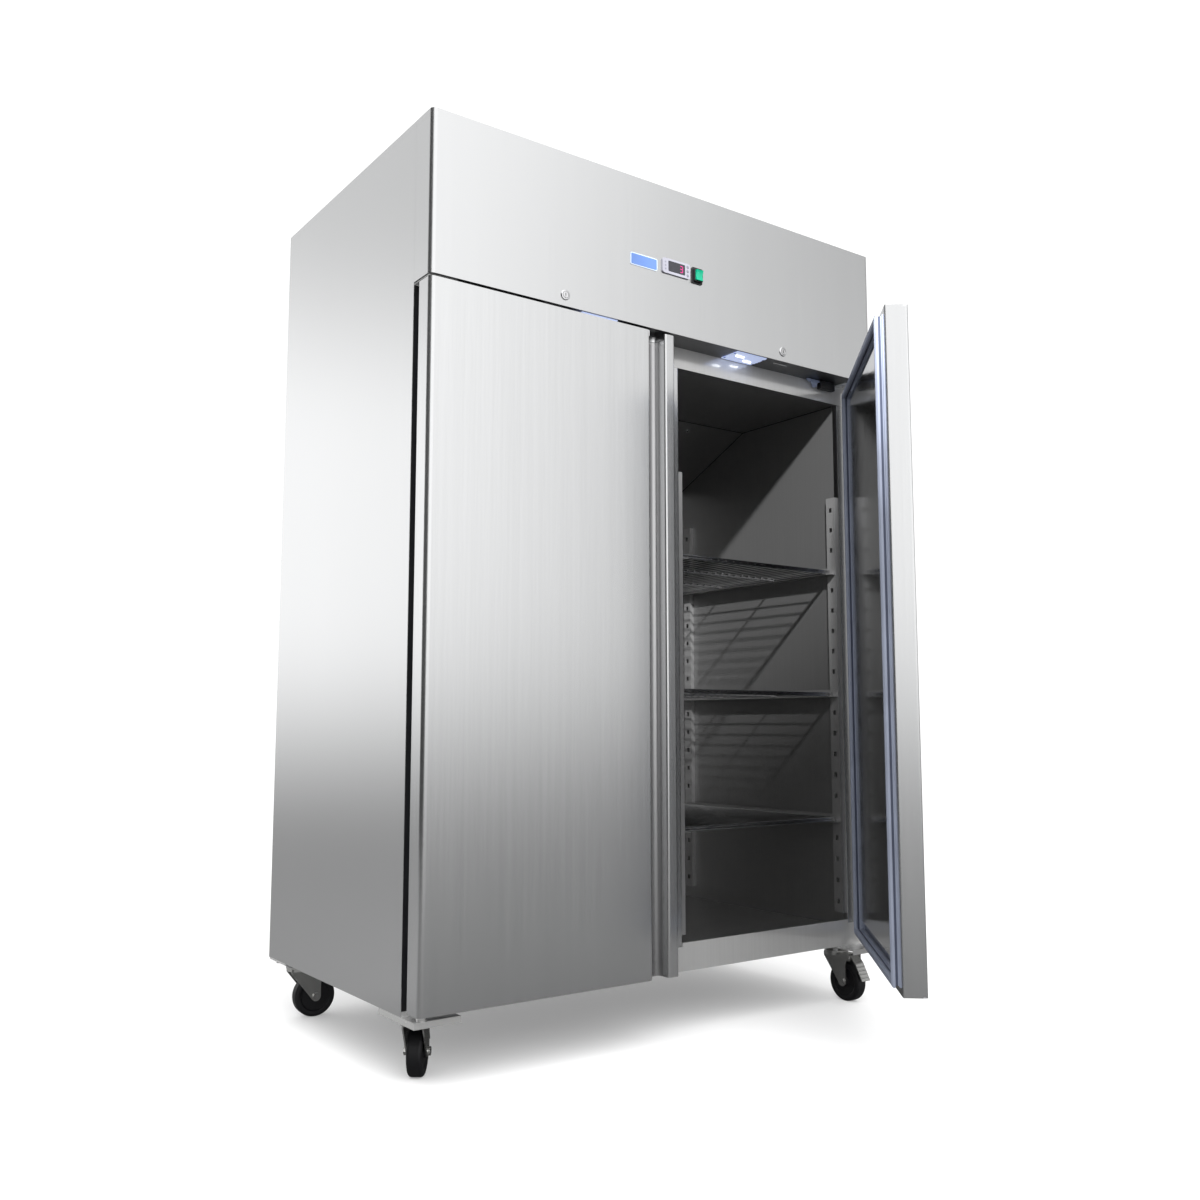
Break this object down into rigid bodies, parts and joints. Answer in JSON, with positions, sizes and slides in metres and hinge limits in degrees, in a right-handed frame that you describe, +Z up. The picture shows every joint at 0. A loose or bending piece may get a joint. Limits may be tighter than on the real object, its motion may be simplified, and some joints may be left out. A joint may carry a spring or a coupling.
{
  "type": "reach-in refrigerator",
  "caption": "Upright stainless two-door reach-in refrigerator on castors, with wire shelves on slotted uprights, a machine header and sealed hinged doors, one open.",
  "frame": {"origin": "on the floor, under the middle of the cabinet's closed box (width and depth of the cabinet, doors shut)", "axes": "+Z up; +Y from the doors to the back panel; +X to the right for a person facing the doors"},
  "size_m": [1.3692, 1.2668, 1.995],
  "materials": {
    "body_steel": "satin",
    "back_steel": "matte",
    "foam": "matte",
    "liner_steel": "satin",
    "rack_steel": "satin",
    "shelf_wire": "polished",
    "door_steel": "satin",
    "badge": "gloss",
    "bezel": "satin",
    "display": "gloss",
    "key": "satin",
    "switch_black": "satin",
    "rocker_green": "gloss",
    "lock_chrome": "polished",
    "lamp_body": "satin",
    "lamp_lens": "satin",
    "sensor_plastic": "satin",
    "compressor_black": "satin",
    "coil": "satin",
    "shroud": "matte",
    "fan_blade": "satin",
    "cap_plastic": "satin",
    "gasket": "satin",
    "bracket_steel": "satin",
    "castor_zinc": "satin",
    "castor_tread": "satin",
    "screw_steel": "satin"
  },
  "bodies": {
    "cabinet": {"air_duct_cover": "liner_steel", "back_panel": "back_steel", "badge_plate": "badge", "base_panel": "back_steel", "cabinet_insulation": "foam", "castor_plates": "castor_zinc", "compressor": "compressor_black", "condenser": "coil", "controller_bezel": "bezel", "controller_display": "display", "door_switches": "sensor_plastic", "evaporator": "coil", "face_rails": "body_steel", "fan_shroud": "shroud", "fasteners": "screw_steel", "header_cover": "body_steel", "hinge_brackets": "bracket_steel", "jambs": "body_steel", "lamp_diffuser": "lamp_lens", "lamp_housing": "lamp_body", "liner": "liner_steel", "lock_housings": "lock_chrome", "mullion": "body_steel", "pilasters": "rack_steel", "rear_post": "liner_steel", "shelf_runners": "rack_steel", "shelves_left": "shelf_wire", "shelves_right": "shelf_wire", "side_panel_left": "body_steel", "side_panel_right": "body_steel", "switch_bezel": "switch_black", "top_deck": "back_steel"},
    "door_left": {"door_skin_left": "door_steel", "door_core_left": "foam", "door_liner_left": "liner_steel", "door_caps_left": "cap_plastic", "door_gasket_left": "gasket"},
    "door_right": {"door_skin_right": "door_steel", "door_core_right": "foam", "door_liner_right": "liner_steel", "door_caps_right": "cap_plastic", "door_gasket_right": "gasket"},
    "key_up": {"key_up": "key"},
    "key_set": {"key_set": "key"},
    "key_down": {"key_down": "key"},
    "rocker": {"rocker": "rocker_green"},
    "lock_left": {"lock_left": "lock_chrome"},
    "lock_right": {"lock_right": "lock_chrome"},
    "condenser_fan": {"condenser_fan": "fan_blade"},
    "evaporator_fan": {"evaporator_fan": "fan_blade"},
    "fork_front_left": {"castor_fork_front_left": "castor_zinc"},
    "wheel_front_left": {"castor_wheel_front_left": "castor_tread"},
    "pedal_front_left": {"brake_pedal_front_left": "castor_zinc"},
    "fork_front_right": {"castor_fork_front_right": "castor_zinc"},
    "wheel_front_right": {"castor_wheel_front_right": "castor_tread"},
    "pedal_front_right": {"brake_pedal_front_right": "castor_zinc"},
    "fork_rear_left": {"castor_fork_rear_left": "castor_zinc"},
    "wheel_rear_left": {"castor_wheel_rear_left": "castor_tread"},
    "fork_rear_right": {"castor_fork_rear_right": "castor_zinc"},
    "wheel_rear_right": {"castor_wheel_rear_right": "castor_tread"}
  },
  "joints": [
    {"name": "door_left_hinge", "type": "hinge", "parent": "cabinet", "child": "door_left", "pos_m": [-0.648, -0.375, 0.9], "axis": [0, 0, 1], "range_deg": [-120, 0]},
    {"name": "door_right_hinge", "type": "hinge", "parent": "cabinet", "child": "door_right", "pos_m": [0.648, -0.375, 0.9], "axis": [0, 0, 1], "range_deg": [-49, 71]},
    {"name": "key_up_travel", "type": "slide", "parent": "cabinet", "child": "key_up", "axis": [0, 1, 0], "range_m": [0, 0.0008], "stiffness_N_per_m": 400},
    {"name": "key_set_travel", "type": "slide", "parent": "cabinet", "child": "key_set", "axis": [0, 1, 0], "range_m": [0, 0.0008], "stiffness_N_per_m": 400},
    {"name": "key_down_travel", "type": "slide", "parent": "cabinet", "child": "key_down", "axis": [0, 1, 0], "range_m": [0, 0.0008], "stiffness_N_per_m": 400},
    {"name": "rocker_tilt", "type": "hinge", "parent": "cabinet", "child": "rocker", "pos_m": [0.048, -0.407, 1.795], "axis": [1, 0, 0], "range_deg": [-14, 0]},
    {"name": "lock_left_turn", "type": "hinge", "parent": "cabinet", "child": "lock_left", "pos_m": [-0.336, -0.403, 1.662], "axis": [0, 1, 0], "range_deg": [-90, 0]},
    {"name": "lock_right_turn", "type": "hinge", "parent": "cabinet", "child": "lock_right", "pos_m": [0.336, -0.403, 1.662], "axis": [0, 1, 0], "range_deg": [0, 90]},
    {"name": "condenser_fan_spin", "type": "hinge", "parent": "cabinet", "child": "condenser_fan", "pos_m": [0.06, -0.16, 1.8], "axis": [0, 1, 0], "continuous": true},
    {"name": "evaporator_fan_spin", "type": "hinge", "parent": "cabinet", "child": "evaporator_fan", "pos_m": [0, 0.162, 1.53164], "axis": [0, 0.4179, 0.9085], "continuous": true},
    {"name": "castor_swivel_front_left", "type": "hinge", "parent": "cabinet", "child": "fork_front_left", "pos_m": [-0.615, -0.283, 0.119], "axis": [0, 0, 1], "continuous": true},
    {"name": "castor_spin_front_left", "type": "hinge", "parent": "fork_front_left", "child": "wheel_front_left", "pos_m": [-0.59213, -0.25265, 0.05], "axis": [-0.7986, 0.6018, 0], "continuous": true},
    {"name": "brake_pedal_press_front_left", "type": "hinge", "parent": "fork_front_left", "child": "pedal_front_left", "pos_m": [-0.57949, -0.23588, 0.113], "axis": [-0.7986, 0.6018, 0], "range_deg": [0, 3.5]},
    {"name": "castor_swivel_front_right", "type": "hinge", "parent": "cabinet", "child": "fork_front_right", "pos_m": [0.615, -0.283, 0.119], "axis": [0, 0, 1], "continuous": true},
    {"name": "castor_spin_front_right", "type": "hinge", "parent": "fork_front_right", "child": "wheel_front_right", "pos_m": [0.615, -0.321, 0.05], "axis": [1, 0, 0], "continuous": true},
    {"name": "brake_pedal_press_front_right", "type": "hinge", "parent": "fork_front_right", "child": "pedal_front_right", "pos_m": [0.615, -0.342, 0.113], "axis": [1, 0, 0], "range_deg": [0, 3.5]},
    {"name": "castor_swivel_rear_left", "type": "hinge", "parent": "cabinet", "child": "fork_rear_left", "pos_m": [-0.615, 0.345, 0.119], "axis": [0, 0, 1], "continuous": true},
    {"name": "castor_spin_rear_left", "type": "hinge", "parent": "fork_rear_left", "child": "wheel_rear_left", "pos_m": [-0.57709, 0.34235, 0.05], "axis": [0.0698, 0.9976, 0], "continuous": true},
    {"name": "castor_swivel_rear_right", "type": "hinge", "parent": "cabinet", "child": "fork_rear_right", "pos_m": [0.615, 0.345, 0.119], "axis": [0, 0, 1], "continuous": true},
    {"name": "castor_spin_rear_right", "type": "hinge", "parent": "fork_rear_right", "child": "wheel_rear_right", "pos_m": [0.64944, 0.36106, 0.05], "axis": [-0.4226, 0.9063, 0], "continuous": true}
  ]
}
